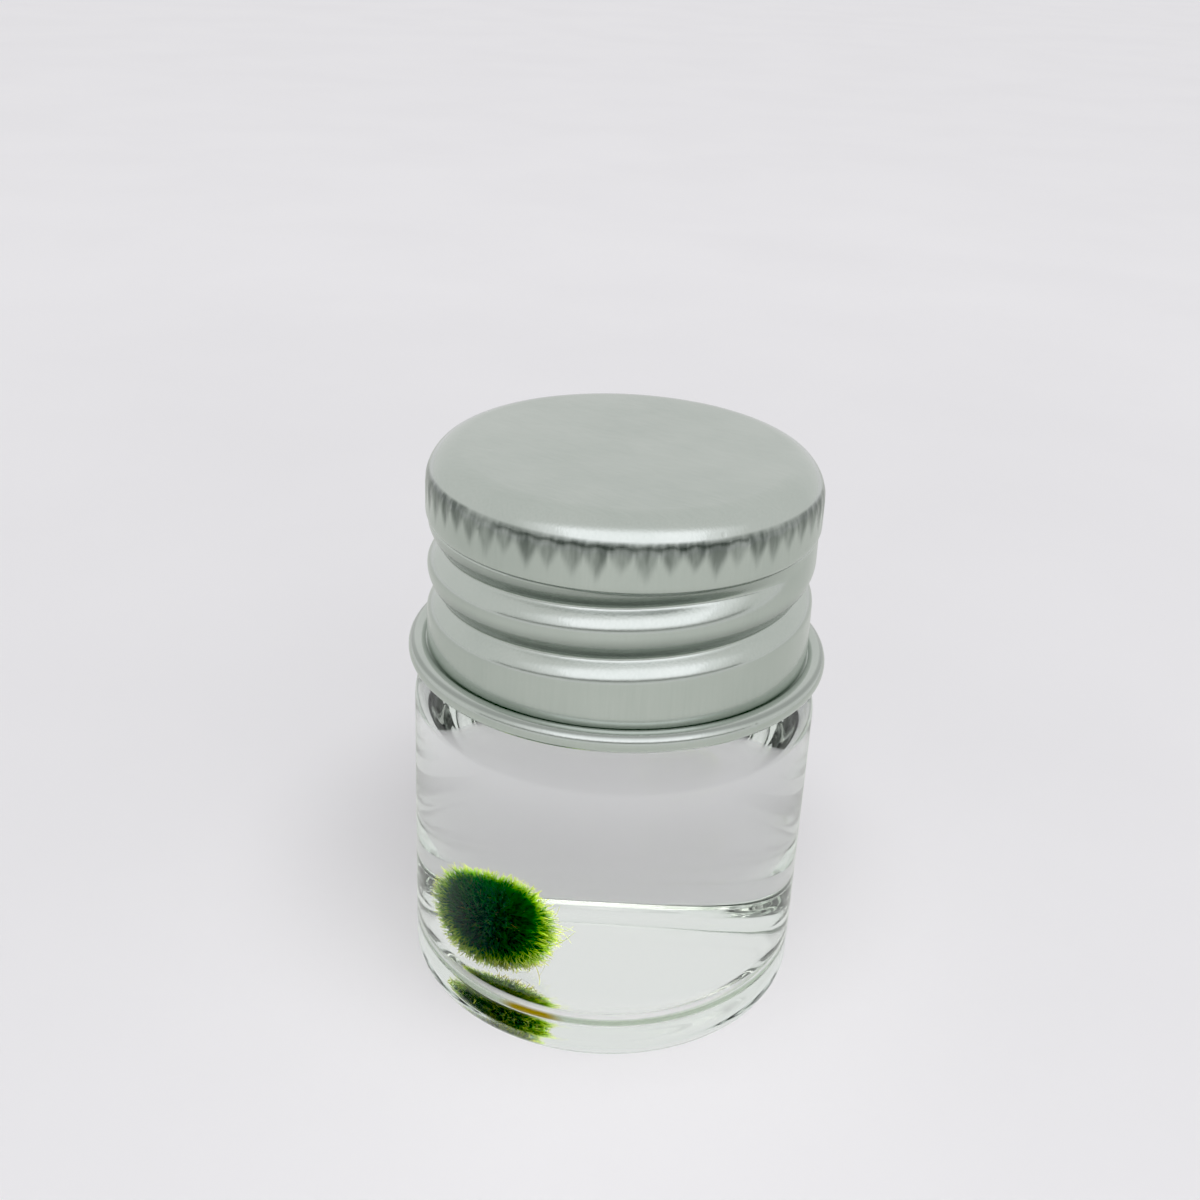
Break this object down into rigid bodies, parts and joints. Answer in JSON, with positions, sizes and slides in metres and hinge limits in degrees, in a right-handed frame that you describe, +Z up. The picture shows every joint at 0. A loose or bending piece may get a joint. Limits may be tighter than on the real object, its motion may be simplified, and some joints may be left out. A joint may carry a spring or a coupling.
{
  "type": "marimo moss ball in a jar",
  "caption": "Round green moss ball in water in a small clear glass jar, closed by a screwed aluminium cap that turns and climbs on its thread.",
  "frame": {"origin": "centre of the jar's foot ring, on the surface that the jar stands on", "axes": "+Z up along the jar's axis, -Y towards the side from which the moss ball is seen left of the axis"},
  "size_m": [0.0226, 0.0226, 0.0314],
  "materials": {
    "glass": "clear, polished, faintly green where it is thick",
    "water": "clear water",
    "moss": "dense soft green threads, nearly black green inside",
    "aluminium": "satin, finely brushed",
    "liner": "soft white foam"
  },
  "bodies": {
    "jar": {"jar": "glass", "water": "water", "moss_ball": "moss"},
    "liner": {"cap_liner": "liner"},
    "cap": {"cap": "aluminium"}
  },
  "joints": [
    {"name": "cap_lift", "type": "slide", "parent": "jar", "child": "liner", "axis": [0, 0, 1], "range_m": [0, 0.0031]},
    {"name": "cap_turn", "type": "hinge", "parent": "liner", "child": "cap", "pos_m": [0, 0, 0.0255], "axis": [0, 0, 1], "range_deg": [0, 400]}
  ],
  "couplings": [
    {"joint": "cap_lift", "follows": "cap_turn", "m_per_rad": 0.0004329}
  ]
}
